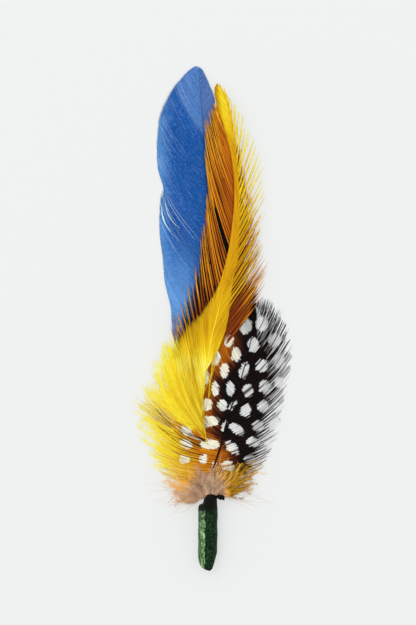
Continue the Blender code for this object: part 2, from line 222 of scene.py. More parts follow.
def barb_lines(shaft, tips, count, stations, seed, bow=0.1, start=None, stop=None, reach=(1.0, 1.0),
               locks=0, gather=0.0, lock_reach=0.0, sway=0.0, root_lift=0.0, tip_lift=0.0, scatter=0.0,
               splits=(), uneven=0.3, reach_by_root=None, draw=1.5):
    """Centre lines of a row of barbs, each a curve that leaves the shaft wide and bends to the tip.

    Neighbours can be gathered into locks, which draw together sooner or later, or parted by splits.
    """
    rng = np.random.default_rng(seed)
    tips = np.array(tips, float)
    start = tips[0, 0] if start is None else start
    stop = tips[-1, 0] if stop is None else stop
    rise = np.linspace(start, stop, count) + rng.uniform(-uneven, uneven, count) * (stop - start) / count
    tip_x, tip_y = smooth_line(tips[:, [0, 1]]), smooth_line(tips[:, [0, 2]])
    root = np.stack([smooth_line(shaft)(rise), rise], 1)
    tip = np.stack([tip_x(rise), tip_y(rise)], 1)
    share = rng.uniform(*reach, count)
    if reach_by_root:
        share = share * along(reach_by_root, rise) * rng.uniform(0.92, 1.04, count)
    lock, side = np.arange(count), np.zeros(count)
    t = np.linspace(0.0, 1.0, stations)[None, :] * share[:, None]
    if locks:
        edges = np.sort((np.arange(1, locks) + rng.uniform(-0.4, 0.4, locks - 1)) / locks)
        lock = np.searchsorted(edges, np.arange(count) / count)
        centre = np.array([rise[lock == k].mean() if (lock == k).any() else 0.0 for k in range(locks)])
        t = t * (1 - lock_reach * rng.random(locks)[lock])[:, None]
        aim = np.stack([tip_x(centre), tip_y(centre)], 1)[lock]
        gathered = (aim - tip)[:, None, :] * gather * (t ** draw)[:, :, None]
        spread = np.array([np.ptp(rise[lock == k]) if (lock == k).any() else 1.0 for k in range(locks)])
        side = 2 * (rise - centre[lock]) / np.maximum(spread[lock], 0.1)
    t = t[:, :, None]
    chord = tip - root
    lean = chord[:, 0] - chord[:, 1] * np.gradient(root[:, 0], root[:, 1])
    outward = np.stack([-chord[:, 1], chord[:, 0]], 1) * (1 if lean.sum() < 0 else -1)
    middle = (root + tip) / 2 + outward * along(bow, rise)[:, None]
    path = (1 - t) ** 2 * root[:, None] + 2 * t * (1 - t) * middle[:, None] + t * t * tip[:, None]
    if locks:
        path += gathered
    across = outward / np.linalg.norm(outward, axis=1, keepdims=True)
    for place, gap, begin, spread in splits:
        away = rise - place
        push = -gap * np.sign(away) * np.exp(-np.abs(away) / spread)
        opening = step_up(t, begin, begin + 0.3) * (1 - 0.6 * step_up(t, 0.9, 1.0))
        path += push[:, None, None] * opening * across[:, None]
    if sway:
        phase, beat = rng.uniform(0, 2 * math.pi, count), rng.uniform(0.6, 1.6, count)
        wave = np.sin(phase[:, None] + beat[:, None] * 2 * math.pi * t[:, :, 0]) - np.sin(phase)[:, None]
        path += (sway * wave * t[:, :, 0])[:, :, None] * across[:, None]
    low, high = along(root_lift, rise)[:, None], along(tip_lift, rise)[:, None]
    lift = low * (1 - t[:, :, 0]) + high * t[:, :, 0] + (scatter * rng.uniform(-1, 1, count))[:, None]
    z = np.maximum(bed(path[:, :, 0], path[:, :, 1]) + lift, LOWEST_STRAND)
    line = np.concatenate([path, z[:, :, None]], 2)
    steps = np.linalg.norm(np.diff(line, axis=1), axis=2)
    run = np.concatenate([np.zeros((count, 1)), np.cumsum(steps, 1)], 1)
    return dict(line=line, tip=t[:, :, 0], run=run, rise=np.repeat(rise[:, None], stations, 1),
                strand=np.repeat(rng.random(count)[:, None], stations, 1), lock=lock, side=side)


BARB_PROFILE = [(0.5, 0.0), (0.0, 1.0), (-0.5, 0.0)]
SHAFT_PROFILE = [(math.cos(a) / 2, math.sin(a)) for a in (math.tau * i / 8 for i in range(8))]


def strands(lines, width, height, taper=0.7, end=0.2, mark=0.0, tone=0.0):
    """A bundle of strands along centre lines: their width, where they start to narrow, and their colour."""
    stations = lines["line"].shape[1]
    share = np.clip((np.linspace(0, 1, stations) - taper) / (1 - taper), 0, 1)[None, :]
    narrowing = 1 - (1 - end) * share
    shape = lines["line"].shape[:2]
    return dict(lines, width=np.broadcast_to(width * narrowing, shape),
                height=np.broadcast_to(height * narrowing, shape),
                mark=np.broadcast_to(mark, shape), tone=np.broadcast_to(tone, shape), profile=BARB_PROFILE)


def barbules(lines, each, length, width, seed, spread=(0.5, 0.9), rise=0.35, start=0.1, stop=1.0):
    """The fine side branches of loose barbs, as short lines of two points that inherit their barb's place."""
    rng = np.random.default_rng(seed)
    line = lines["line"]
    count, stations = line.shape[:2]
    u = rng.uniform(start, stop, (count, each))
    at = np.minimum((u * (stations - 1)).astype(int), stations - 2)
    part = (u * (stations - 1) - at)[:, :, None]
    row = np.arange(count)[:, None]
    base = line[row, at] * (1 - part) + line[row, at + 1] * part
    ahead = line[row, at + 1] - line[row, at]
    ahead /= np.maximum(np.linalg.norm(ahead, axis=2, keepdims=True), 1e-6)
    side = np.cross(ahead, (0.0, 0.0, 1.0)) * rng.choice((-1.0, 1.0), (count, each, 1))
    angle = rng.uniform(*spread, (count, each, 1))
    upward = np.array((0.0, 0.0, 1.0)) * rng.uniform(-rise, rise, (count, each, 1))
    reach = length * rng.uniform(0.42, 1.0, (count, each, 1)) * (1 - 0.5 * u[:, :, None])
    far = base + (ahead * np.cos(angle) + side * np.sin(angle) + upward) * reach
    far[:, :, 2] = np.maximum(far[:, :, 2], LOWEST_STRAND)
    pair = np.stack([base, far], 2).reshape(-1, 2, 3)

    def carried(name):
        values = lines[name][row, at]
        return np.repeat(values.reshape(-1, 1), 2, 1)
    made = {name: carried(name) for name in ("rise", "run", "mark", "tone", "tip")}
    made["strand"] = np.repeat(rng.random((count * each, 1)), 2, 1)
    return dict(made, line=pair, width=np.full((count * each, 2), width),
                height=np.full((count * each, 2), width * 0.7), profile=BARB_PROFILE)


STRAND_VALUES = ("strand", "tip", "run", "rise", "mark", "tone")


def strand_mesh(name, bundles):
    """All strands of a piece as one mesh: closed tapering prisms with one point at their tip.

    Each point keeps where it is on its strand and on the feather, which the materials read.
    """
    points, faces, kept = [], [], {value: [] for value in STRAND_VALUES}
    offset = 0
    for bundle in bundles:
        line = bundle["line"]
        count, stations = line.shape[:2]
        profile = np.array(bundle["profile"])
        sides = len(profile)
        ahead = np.gradient(line, axis=1)
        ahead /= np.maximum(np.linalg.norm(ahead, axis=2, keepdims=True), 1e-9)
        across = np.cross(ahead, (0.0, 0.0, 1.0))
        across /= np.maximum(np.linalg.norm(across, axis=2, keepdims=True), 1e-9)
        over = np.cross(across, ahead)
        wide = (across * bundle["width"][:, :, None])[:, :, None] * profile[None, None, :, :1]
        high = (over * bundle["height"][:, :, None])[:, :, None] * profile[None, None, :, 1:]
        rings = line[:, :, None] + wide + high
        body = rings[:, :-1].reshape(count, -1, 3)
        points.append(np.concatenate([body, line[:, -1:]], 1).reshape(-1, 3))
        each = sides * (stations - 1) + 1
        begin = offset + each * np.arange(count)[:, None, None]
        j, k = np.meshgrid(np.arange(stations - 2), np.arange(sides), indexing="ij")
        after = (k + 1) % sides
        wall = np.stack([sides * j + k, sides * (j + 1) + k, sides * (j + 1) + after, sides * j + after], -1)
        faces += (begin + wall.reshape(1, -1, 4)).reshape(-1, 4).tolist()
        last = sides * (stations - 2)
        point = np.array([(last + k, each - 1, last + (k + 1) % sides) for k in range(sides)])
        faces += (begin + point[None]).reshape(-1, 3).tolist()
        faces += (begin[:, :, 0] + np.arange(sides)[None]).tolist()
        for value in STRAND_VALUES:
            data = np.broadcast_to(bundle[value], (count, stations))
            ringed = np.repeat(data[:, :-1], sides, axis=1)
            kept[value].append(np.concatenate([ringed, data[:, -1:]], 1).ravel())
        offset += each * count
    mesh = bpy.data.meshes.new(name)
    mesh.from_pydata(np.concatenate(points) * MM, [], faces)
    for value in STRAND_VALUES:
        attribute = mesh.attributes.new(value, "FLOAT", "POINT")
        attribute.data.foreach_set("value", np.concatenate(kept[value]).astype(np.float32))
    mesh.shade_smooth()
    piece = bpy.data.objects.new(name, mesh)
    bpy.context.scene.collection.objects.link(piece)
    return piece


def quill(shaft, radii, lift, stations=70, tone=0.0, seed=1, stop=None):
    """The feather's shaft as one tapering eight-sided strand, from the quill in the stem to its tip."""
    y = np.linspace(shaft[0][0], shaft[-1][0] if stop is None else stop, stations)
    x = smooth_line(shaft)(y)
    radius = along(radii, y)
    z = bed(x, y) + along(lift, y)
    line = np.stack([x, y, z], 1)[None]
    steps = np.linalg.norm(np.diff(line, axis=1), axis=2)
    run = np.concatenate([np.zeros((1, 1)), np.cumsum(steps, 1)], 1)
    whole = np.ones((1, stations))
    return dict(line=line, width=2 * radius[None], height=radius[None] * whole, profile=SHAFT_PROFILE,
                tip=np.linspace(0, 1, stations)[None] * 0, run=run, rise=y[None], strand=whole * 0.5,
                mark=whole * 0.0, tone=np.broadcast_to(tone, (1, stations)))


def read(tree, name):
    """A value that the strands keep on their points."""
    return add(tree, "ShaderNodeAttribute", attribute_name=name).outputs["Fac"]


def calc(tree, operation, first, second=0.0):
    """A sum on values in a material."""
    return add(tree, "ShaderNodeMath", {0: first, 1: second}, operation=operation).outputs[0]


def mask(tree, value, start, stop):
    """0 where the value is before start, 1 where it is past stop, and smooth between."""
    return add(tree, "ShaderNodeMapRange", {"Value": value, "From Min": start, "From Max": stop},
               interpolation_type="SMOOTHSTEP").outputs["Result"]


def tint(tree, amount, under, over):
    """One colour laid over another by an amount."""
    return add(tree, "ShaderNodeMix", {0: amount, 6: under, 7: over}, data_type="RGBA").outputs[2]


def ramp(tree, value, stops):
    """Colours by place: a list of (place, hex colour)."""
    made = add(tree, "ShaderNodeValToRGB", {"Fac": value})
    bar = made.color_ramp.elements
    while len(bar) < len(stops):
        bar.new(0.5)
    for element, (place, code) in zip(bar, stops):
        element.position, element.color = place, dye(code)
    return made.outputs["Color"]


def place_in_mm(tree):
    """Where a point is on the trim, in millimetres: its x and its y."""
    spot = add(tree, "ShaderNodeSeparateXYZ",
               {0: add(tree, "ShaderNodeTexCoord").outputs["Object"]})
    return calc(tree, "MULTIPLY", spot.outputs[0], 1000.0), calc(tree, "MULTIPLY", spot.outputs[1], 1000.0)


def make_barb_fibre():
    """The group every feather uses: a barb's own shade, streaks along it and the ribs of its barbules."""
    tree = bpy.data.node_groups.new("barb_fibre", "ShaderNodeTree")
    for name, kind in (("Strand", "INPUT"), ("Run", "INPUT"), ("Unevenness", "INPUT"), ("Rib Pitch", "INPUT"),
                       ("Shade", "OUTPUT"), ("Height", "OUTPUT")):
        tree.interface.new_socket(name, in_out=kind, socket_type="NodeSocketFloat")
    given, out = tree.nodes.new("NodeGroupInput"), tree.nodes.new("NodeGroupOutput")
    lane = calc(tree, "MULTIPLY", given.outputs["Strand"], 97.0)
    spot = add(tree, "ShaderNodeCombineXYZ", {0: given.outputs["Run"], 1: lane})
    streak = add(tree, "ShaderNodeTexNoise", {"Vector": spot.outputs[0], "Scale": 0.9, "Detail": 3.0})
    own = calc(tree, "SUBTRACT", given.outputs["Strand"], 0.5)
    uneven = calc(tree, "ADD", calc(tree, "MULTIPLY", own, 0.9),
                  calc(tree, "MULTIPLY", calc(tree, "SUBTRACT", streak.outputs["Fac"], 0.5), 1.3))
    shade = calc(tree, "ADD", 1.0, calc(tree, "MULTIPLY", uneven, given.outputs["Unevenness"]))
    turns = calc(tree, "DIVIDE", given.outputs["Run"], given.outputs["Rib Pitch"])
    ribs = calc(tree, "SINE", calc(tree, "MULTIPLY", turns, math.tau))
    height = calc(tree, "ADD", calc(tree, "MULTIPLY", ribs, 0.3), streak.outputs["Fac"])
    plug(tree, shade, out.inputs["Shade"])
    plug(tree, height, out.inputs["Height"])
    return tree


barb_fibre = make_barb_fibre()


def feather_material(name, colour_of, unevenness, roughness=0.6, sheen=0.02, rib_pitch=0.22, relief=0.3,
                     glow=0.0):
    """A feather's finish: its dye, with every barb a little apart in shade, and ribbed by its barbules.

    Down lets light through from strand to strand, which its glow stands for.
    """
    material, tree, shader = new_material(name, roughness)
    fibre = add(tree, "ShaderNodeGroup", node_tree=barb_fibre)
    for socket, value in (("Strand", read(tree, "strand")), ("Run", read(tree, "run")),
                          ("Unevenness", unevenness), ("Rib Pitch", rib_pitch)):
        plug(tree, value, fibre.inputs[socket])
    dyed = add(tree, "ShaderNodeHueSaturation", {"Color": colour_of(tree), "Value": fibre.outputs["Shade"]})
    bump = add(tree, "ShaderNodeBump", {"Height": fibre.outputs["Height"], "Strength": relief,
                                        "Distance": 0.00004})
    rough = calc(tree, "ADD", roughness - 0.08, calc(tree, "MULTIPLY", fibre.outputs["Height"], 0.16))
    plug(tree, dyed.outputs["Color"], shader.inputs["Base Color"])
    plug(tree, bump.outputs["Normal"], shader.inputs["Normal"])
    plug(tree, rough, shader.inputs["Roughness"])
    if glow:
        plug(tree, dyed.outputs["Color"], shader.inputs["Emission Color"])
        shader.inputs["Emission Strength"].default_value = glow
    shader.inputs["Sheen Weight"].default_value = sheen
    shader.inputs["Sheen Roughness"].default_value = 0.3
    shader.inputs["Specular IOR Level"].default_value = 0.08
    return material


def dress(piece, node, material):
    """Gives a piece its finish and lets it stand for its CAD node."""
    piece.data.materials.append(material)
    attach(piece, "root")
    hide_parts(node)


def blue_dye(tree):
    """Deep blue, paler to the left edge and the lower end, with a painted sheen above one barb near the top. Glints
    are painted highlights.
    """
    x, y = place_in_mm(tree)
    rise = read(tree, "rise")
    cloud = speckle(tree, 260.0)
    ragged_x = calc(tree, "ADD", x, calc(tree, "MULTIPLY", calc(tree, "SUBTRACT", cloud, 0.5), 5.0))
    colour = tint(tree, mask(tree, ragged_x, -9.5, -16.5), dye("#1456a6"), dye("#609ad8"))
    low_end = calc(tree, "MULTIPLY", mask(tree, y, 94.0, 68.0), mask(tree, ragged_x, 1.0, -8.0))
    colour = tint(tree, calc(tree, "MULTIPLY", low_end, 0.9), colour, dye("#66a0e2"))
    # Painted sheen: the barbs above this one, and the top of the right vane, are tinted paler where they lie curved
    # and catch the light
    upper = mask(tree, rise, 118.6, 120.0)
    colour = tint(tree, calc(tree, "MULTIPLY", upper, 0.75), colour, dye("#5a86c6"))
    right = calc(tree, "MULTIPLY", mask(tree, x, -2.2, -1.0), mask(tree, y, 118.0, 122.0))
    colour = tint(tree, calc(tree, "MULTIPLY", right, 0.6), colour, dye("#6480be"))
    grain = speckle(tree, 2200.0, 2.0)
    colour = tint(tree, calc(tree, "MULTIPLY", mask(tree, grain, 0.5, 0.66), 0.2), colour, dye("#6ca6ea"))
    colour = tint(tree, calc(tree, "MULTIPLY", mask(tree, grain, 0.5, 0.34), 0.3), colour, dye("#0a3a84"))
    # Painted highlight: glints and the unhooked barbs are tinted nearly white
    colour = tint(tree, read(tree, "mark"), colour, dye("#dcf2ff"))
    colour = tint(tree, calc(tree, "MULTIPLY", mask(tree, read(tree, "tip"), 0.93, 1.0), 0.35), colour,
                  dye("#a9c6ee"))
    return tint(tree, read(tree, "tone"), colour, dye("#1d3d63"))


blue_left = barb_lines(BLUE_SHAFT, BLUE_LEFT, BLUE_BARBS, 20, 11, bow=[(70, 0.10), (78, 0.15), (84, 0.10)],
                       reach=(0.985, 1.0), splits=BLUE_SPLITS, scatter=0.02, uneven=0.1)
# Painted highlights: some barbs and scattered points get pale glints
sparkle = np.random.default_rng(13).random(blue_left["rise"].shape) ** 6
glint = 0.10 * (blue_left["strand"] > 0.86) * step_up(blue_left["tip"], 0.3, 0.8) + 0.06 * sparkle
blue_right = barb_lines(BLUE_SHAFT, BLUE_RIGHT, 230, 14, 12, bow=0.12, reach=(0.97, 1.0), scatter=0.02,
                        uneven=0.1)
blue_quill = quill(BLUE_SHAFT, [(-7, 0.75), (22, 0.7), (60, 0.42), (100, 0.18), (139, 0.08)], 0.0,
                   tone=along([(100, 0.75), (118, 0.6), (139, 0.35)], np.linspace(-7, 139, 70)))
blue_parts = [
    strands(blue_left, BLUE_BARB_WIDTH, BLUE_BARB_HEIGHT, taper=0.9, end=0.4, mark=np.clip(glint, 0, 1)),
    strands(blue_right, BLUE_BARB_WIDTH, BLUE_BARB_HEIGHT, taper=0.85, end=0.4), blue_quill]
# Single barbs that have come unhooked near the left edge; their pale tint is a painted highlight where they catch the
# light: course, width, brightness
LOOSE_BLUE_BARBS = [
    ([(90.6, -10.9), (92.8, -12.6), (95.2, -13.5), (98.6, -13.9)], 0.48, 1.0),
    ([(91.6, -8.4), (94.2, -10.9), (96.6, -12.2), (99.4, -12.8)], 0.26, 0.9),
    ([(93.4, -9.4), (96.0, -11.3), (98.4, -12.4), (101.0, -13.1)], 0.15, 0.7),
    ([(88.4, -4.0), (93.5, -8.0), (98.6, -11.2), (102.4, -13.0)], 0.16, 0.6),
    ([(87.4, -1.8), (93.0, -6.4), (98.2, -10.2), (102.0, -12.3)], 0.14, 0.5),
    ([(88.0, -8.6), (90.4, -11.0), (92.8, -12.9)], 0.14, 0.6),
    ([(112.5, -10.2), (117.0, -12.8), (120.5, -14.0)], 0.13, 0.35),
    ([(107.0, -11.2), (111.0, -13.2), (114.0, -14.3)], 0.13, 0.35),
    ([(74.0, -9.4), (77.5, -11.4), (80.5, -12.6)], 0.13, 0.35)]
for course, width, bright in LOOSE_BLUE_BARBS:
    low, high = course[0][0], course[-1][0]
    barb = quill(course, [(low, 0.03), ((low + high) / 2, width / 2), (high, 0.04)], 0.2, stations=24)
    blue_parts.append(dict(barb, mark=np.full((1, 24), bright)))
blue_feather = strand_mesh("blue_feather_barbs", blue_parts)
dress(blue_feather, "blue_goose_feather",
      feather_material("blue_dyed_feather", blue_dye, unevenness=0.24))


# Orange hackle: a long rooster hackle dyed orange, lying over the blue feather.
# Its barbs are long and steep and cling together in fine pointed locks, golden to rust, with dark
# brown barbs and shadow between them.
ORANGE_SHAFT = [(-6, -0.9), (12, -0.9), (21, -0.9), (30, -1.2), (39, -1.2), (48, -0.3), (57, 1.2),
                (66, 3.3), (75, 5.4), (82, 6.9), (91, 7.7), (100, 7.7), (109, 7.2), (116.5, 6.0),
                (122.5, 4.2), (127.2, 2.1)]
ORANGE_LEFT = [(36, -11.5, 62), (41, -10.8, 67.3), (45, -9.5, 69.6), (49, -7.0, 74.2), (52, -5.2, 78.9),
               (57, -2.8, 84.2), (63, -2.1, 92), (68.8, -0.9, 98.2), (74, -0.5, 103.2), (79, -0.3, 108.2),
               (82, -0.9, 112.4), (86, -1.5, 118.4), (90, -1.4, 122.2), (96, -0.8, 125.2), (104, 0.5, 127.7),
               (112, 1.2, 128.8), (126.5, 1.8, 129)]
ORANGE_RIGHT = [(46, 2.4, 58), (49.5, 7.8, 64.6), (52, 16.4, 71.6), (54, 17.6, 75), (57, 18.3, 79.4),
                (61, 18.3, 82.5), (64, 17.2, 85.2), (68, 16.4, 88.8), (73, 15.8, 93.2), (78, 14.8, 97.5),
                (84, 13.2, 103), (90, 11.6, 108.5), (96, 9.8, 114.5), (102, 8.3, 120), (110.6, 6.0, 125),
                (116.5, 4.4, 127), (122.5, 3.2, 128.2), (126.5, 2.3, 128.7)]
ORANGE_LIFT = 1.40
ORANGE_WEDGE = (80.9, 83.5)
ORANGE_TONES = [(0.0, "#070403"), (0.2, "#3a1808"), (0.4, "#96400c"), (0.6, "#c87014"), (0.8, "#f09c0c"),
                (1.0, "#fcc434")]


def orange_tone(lines, seed, base=0.72, spread=0.17, dark_share=0.12):
    """How bright each barb is: locks apart from each other, with painted shade at the edges of each lock so it looks
    rounded, brown beside the shaft and rust low down.
    """
    rng = np.random.default_rng(seed)
    lock = lines["lock"]
    by_lock = base + spread * rng.uniform(-1, 1, lock.max() + 1)
    by_lock[rng.random(lock.max() + 1) < dark_share] = 0.45
    x, y = lines["line"][:, :, 0], lines["line"][:, :, 1]
    # Painted shade: barbs at a lock's edges are darker, more so lower down
    shade = (0.42 + 0.2 * (1 - step_up(y, 84, 98))) * (lines["side"] ** 4)[:, None]
    tone = by_lock[lock][:, None] - shade + 0.3 * (lines["strand"] - 0.5)
    tone = tone + 0.2 * step_up(lines["tip"], 0.3, 0.9)
    shaft_gap = np.abs(x - smooth_line(ORANGE_SHAFT)(y))
    brown = (1 - step_up(shaft_gap, 1.0, 3.6)) * step_up(y, 84, 94) * (1 - step_up(y, 117, 124)) * 0.7
    tone = tone * (1 - brown) + 0.52 * brown + 0.10 * step_up(y, 106, 116)
    rust = (1 - step_up(lines["tip"], 0.35, 0.8)) * (1 - step_up(y, 66, 77)) * 0.85
    return tone * (1 - rust) + 0.30 * rust


def orange_dye(tree):
    """The tones of the orange hackle, with a pale dusty tip to each lock."""
    colour = ramp(tree, read(tree, "tone"), ORANGE_TONES)
    pale = calc(tree, "MULTIPLY", mask(tree, read(tree, "tip"), 0.84, 1.0), read(tree, "mark"))
    return tint(tree, calc(tree, "MULTIPLY", pale, 0.6), colour, dye("#dcb08c"))


orange_parts = []
for tips, seed, dark_seed, locks, dark_reach in (
        (ORANGE_LEFT, 21, 23, 48, [(36, 0.72), (50, 0.85), (80, 0.86), (126, 0.9)]),
        (ORANGE_RIGHT, 22, 24, 56, [(46, 0.8), (55, 0.82), (66, 0.6), (80, 0.45), (126, 0.5)])):
    # A near-black layer of barbs under the locks: partly the hackle's own dark barbs, partly painted shadow showing in
    # the gaps between locks
    backing = barb_lines(ORANGE_SHAFT, tips, 220, 14, dark_seed, bow=0.05, locks=60, gather=0.3,
                         root_lift=ORANGE_LIFT - 0.1, tip_lift=ORANGE_LIFT - 0.1, reach_by_root=dark_reach)
    orange_parts.append(strands(backing, 0.40, 0.06, taper=0.6, end=0.25,
                                tone=0.02 + 0.16 * backing["strand"] ** 2))
    left = tips is ORANGE_LEFT
    for layer, (count, reach, gather) in enumerate(((0 if left else 260, (0.55, 0.95), 0.3),
                                                    (290 if left else 340, (0.92, 1.02) if left else (0.8, 1.03), 0.85))):
        if not count:
            continue
        front = barb_lines(ORANGE_SHAFT, tips, count, 18, seed + 10 * layer, bow=0.05, reach=reach,
                           locks=locks, gather=gather, draw=0.9, lock_reach=0.10, sway=0.14,
                           root_lift=ORANGE_LIFT + 0.1 * layer, tip_lift=ORANGE_LIFT + 0.15 * layer,
                           scatter=0.06)
        dusty = step_up(front["line"][:, :, 1], 100, 112) if left else 0.0
        orange_parts.append(strands(front, 0.22, 0.12, taper=0.5, end=0.25, mark=dusty,
                                    tone=orange_tone(front, seed + layer) + (0.0 if left else 0.05)))
# One black lock stands out beside the shaft
black_lock = barb_lines(ORANGE_SHAFT, ORANGE_LEFT, 14, 16, 25, bow=0.05, start=ORANGE_WEDGE[0],
                        stop=ORANGE_WEDGE[1], reach=(0.45, 0.68), root_lift=ORANGE_LIFT + 0.3,
                        tip_lift=ORANGE_LIFT + 0.3)
orange_parts.append(strands(black_lock, 0.24, 0.10, taper=0.2, end=0.3, tone=0.0))
orange_parts.append(quill(ORANGE_SHAFT, [(-6, 0.35), (30, 0.33), (127, 0.10)], ORANGE_LIFT, tone=0.3))
orange_feather = strand_mesh("orange_feather_barbs", orange_parts)
dress(orange_feather, "orange_hackle_feather",
      feather_material("orange_dyed_feather", orange_dye, unevenness=0.35))


# Yellow hackle: a long hackle dyed golden yellow, lying over the orange one.
# Its tip is a closed bright web, its middle is pressed narrow with stiff barbs standing off to the
# right, and its base is loose fluffy down that spreads to the left.
YELLOW_SHAFT = [(-6, 0.3), (12, 0.3), (19.7, 0.15), (26.8, -0.4), (31.6, -1.3), (37.5, -1.8), (43.5, -1.3),
                (49.5, -0.6), (55.4, 0.4), (61.4, 1.6), (66.8, 3.0), (76.9, 5.4), (86.7, 7.7), (92.7, 8.8),
                (98.6, 9.1), (104.6, 8.9), (110.6, 8.5), (116.5, 7.9), (124.6, 6.7), (130.5, 5.1),
                (132.8, 3.9)]
YELLOW_LEFT = [(33, -11.3, 55.5), (36, -9.9, 58.6), (40, -7.7, 62.6), (44, -5.4, 64.6), (49, -2.4, 67.2),
               (55, 0.6, 71), (60, 3.2, 75.5), (67, 5.6, 82.8), (74, 7.0, 88.8), (81, 7.9, 96), (88, 8.1, 103),
               (94, 7.9, 108), (100, 7.3, 113.2), (105, 6.4, 117.4), (109, 5.4, 120.4), (113, 4.4, 123.2),
               (117, 3.3, 126), (121, 2.3, 128.6), (125, 1.7, 131.4), (129, 1.7, 133.6), (132.6, 2.6, 135)]
YELLOW_PRESSED = [(49.5, 4.0, 58), (52, 5.4, 61.5), (56, 6.6, 67), (62, 7.3, 74), (70, 9.2, 83),
                  (78, 9.6, 90.5), (86, 9.5, 97.5), (93, 9.2, 104), (100, 8.7, 109), (107, 8.2, 113.5),
                  (114, 7.4, 119), (120, 6.5, 124), (126, 5.2, 129.4), (131, 3.9, 133.6), (132.6, 3.4, 134.6)]
YELLOW_SPLAYED = [(60, 15.4, 81), (66, 16.4, 85.6), (71, 16.6, 90.4), (77, 17.4, 96.5), (85, 17.6, 104),
                  (93, 17.3, 110.6), (100.5, 15.0, 117), (107.5, 12.2, 122.6), (112.5, 10.2, 126.6),
                  (118.5, 8.3, 129.4), (125, 6.0, 132), (130, 4.4, 134.8)]
YELLOW_LIFT = [(13, 1.4), (19, 2.1), (26, 2.3)]
YELLOW_TONES = [(0.0, "#d07a02"), (0.25, "#d89c0a"), (0.5, "#e8be14"), (0.7, "#f8d420"), (0.85, "#ffee3c"),
                (1.0, "#fff78c")]


def yellow_dye(tree):
    """Golden where the barbs are pressed, bright at the tip and lemon where the down is loose."""
    return ramp(tree, read(tree, "tone"), YELLOW_TONES)


yellow_parts = []
for tips, count, seed, locks in ((YELLOW_LEFT, 300, 31, 90), (YELLOW_PRESSED, 260, 32, 76)):
    for layer, (gather, sway, drop, share) in enumerate(((0.0, 0.0, 0.12, (0.92, 0.97)),
                                                         (0.6, 0.08, 0.0, (0.9, 1.0)))):
        closed = barb_lines(YELLOW_SHAFT, tips, count, 14, seed + 10 * layer, bow=0.03, reach=share,
                            locks=locks, gather=gather, sway=sway, scatter=0.04,
                            root_lift=[(h, v - drop) for h, v in YELLOW_LIFT],
                            tip_lift=[(h, v - drop) for h, v in YELLOW_LIFT])
        height = closed["line"][:, :, 1]
        web = step_up(height, 113, 127)
        edge = web * step_up(closed["tip"], 0.45, 0.95) if tips is YELLOW_LEFT else 0.2 * web
        tone = (0.27 + 0.14 * (1 - step_up(height, 70, 80)) + 0.5 * web - 0.6 * edge
                + 0.5 * (1 - step_up(height, 50, 62))
                + 0.22 * (closed["strand"] - 0.5))
        yellow_parts.append(strands(closed, 0.38 - 0.12 * layer, 0.10, taper=0.75, end=0.25,
                                    tone=np.clip(tone, 0, 1)))
# Stiff single barbs stand off to the right
splayed = barb_lines(YELLOW_SHAFT, YELLOW_SPLAYED, 78, 24, 33, bow=0.0, reach=(0.94, 1.03), locks=27, uneven=0.8,
                     gather=0.98, draw=0.6, lock_reach=0.14, sway=0.25, root_lift=YELLOW_LIFT,
                     tip_lift=YELLOW_LIFT, scatter=0.10)
splayed_tone = (0.36 + 0.34 * step_up(splayed["line"][:, :, 1], 88, 104)
                + 0.2 * step_up(splayed["tip"], 0.35, 0.9) + 0.2 * (splayed["strand"] - 0.5))
yellow_parts.append(strands(splayed, 0.32, 0.12, taper=0.4, end=0.25, tone=np.clip(splayed_tone, 0, 1)))
# A few long barbs have strayed over the guinea fowl feather
STRAY_TIPS = [(40, 1.2, 47), (43, 2.0, 53), (46, 3.0, 60), (49, 3.6, 62)]
stray = barb_lines([(h, x + 1.6) for h, x in YELLOW_SHAFT], STRAY_TIPS, 7, 20, 37, bow=0.0, reach=(0.7, 1.0),
                   sway=0.5, root_lift=2.9, tip_lift=2.8, uneven=0.45)
low_stray = barb_lines([(h, x + 0.5) for h, x in YELLOW_SHAFT], [(27.5, -2.4, 33.5), (33, -1.6, 40)], 5, 14, 38,
                       bow=0.0, reach=(0.8, 1.0), sway=0.3, root_lift=3.6, tip_lift=2.9, uneven=0.45)
# Golden barbs lie over the upper down, and some cross its right edge
OVERLAY_TIPS = [(29.5, -12.2, 45.5), (31, -11, 49.5), (33, -9.2, 53.5), (35, -7.2, 57), (38, -5.0, 60),
                (41, -2.0, 62)]
CROSSING_TIPS = [(29, -1.4, 36), (33, -0.9, 42), (38, -0.3, 48), (42, 0.6, 53)]
for tips, count, bow, width, seed in ((OVERLAY_TIPS, 44, 0.14, 0.16, 39), (CROSSING_TIPS, 10, 0.02, 0.15, 40)):
    loose = barb_lines(YELLOW_SHAFT, tips, count, 20, seed, bow=bow, reach=(0.7, 1.02), uneven=0.6, sway=0.7,
                       root_lift=3.3, tip_lift=2.7, scatter=0.15)
    yellow_parts.append(strands(loose, width, 0.1, taper=0.4, end=0.3, tone=0.4 + 0.5 * loose["strand"]))
yellow_parts += [strands(stray, 0.2, 0.1, taper=0.4, end=0.3, tone=0.62),
                 strands(low_stray, 0.2, 0.1, taper=0.4, end=0.3, tone=0.66)]
yellow_parts.append(quill(YELLOW_SHAFT, [(-6, 0.35), (19, 0.3), (50, 0.14), (80, 0.12), (133, 0.07)],
                          [(h, v + 0.2 * (h > 25)) for h, v in YELLOW_LIFT],
                          tone=along([(30, 0.9), (66, 0.85), (76, 0.4), (133, 0.3)],
                                     np.linspace(-6, 132.8, 70))))
yellow_feather = strand_mesh("yellow_feather_barbs", yellow_parts)
dress(yellow_feather, "yellow_hackle_feather",
      feather_material("yellow_dyed_feather", yellow_dye, unevenness=0.18))


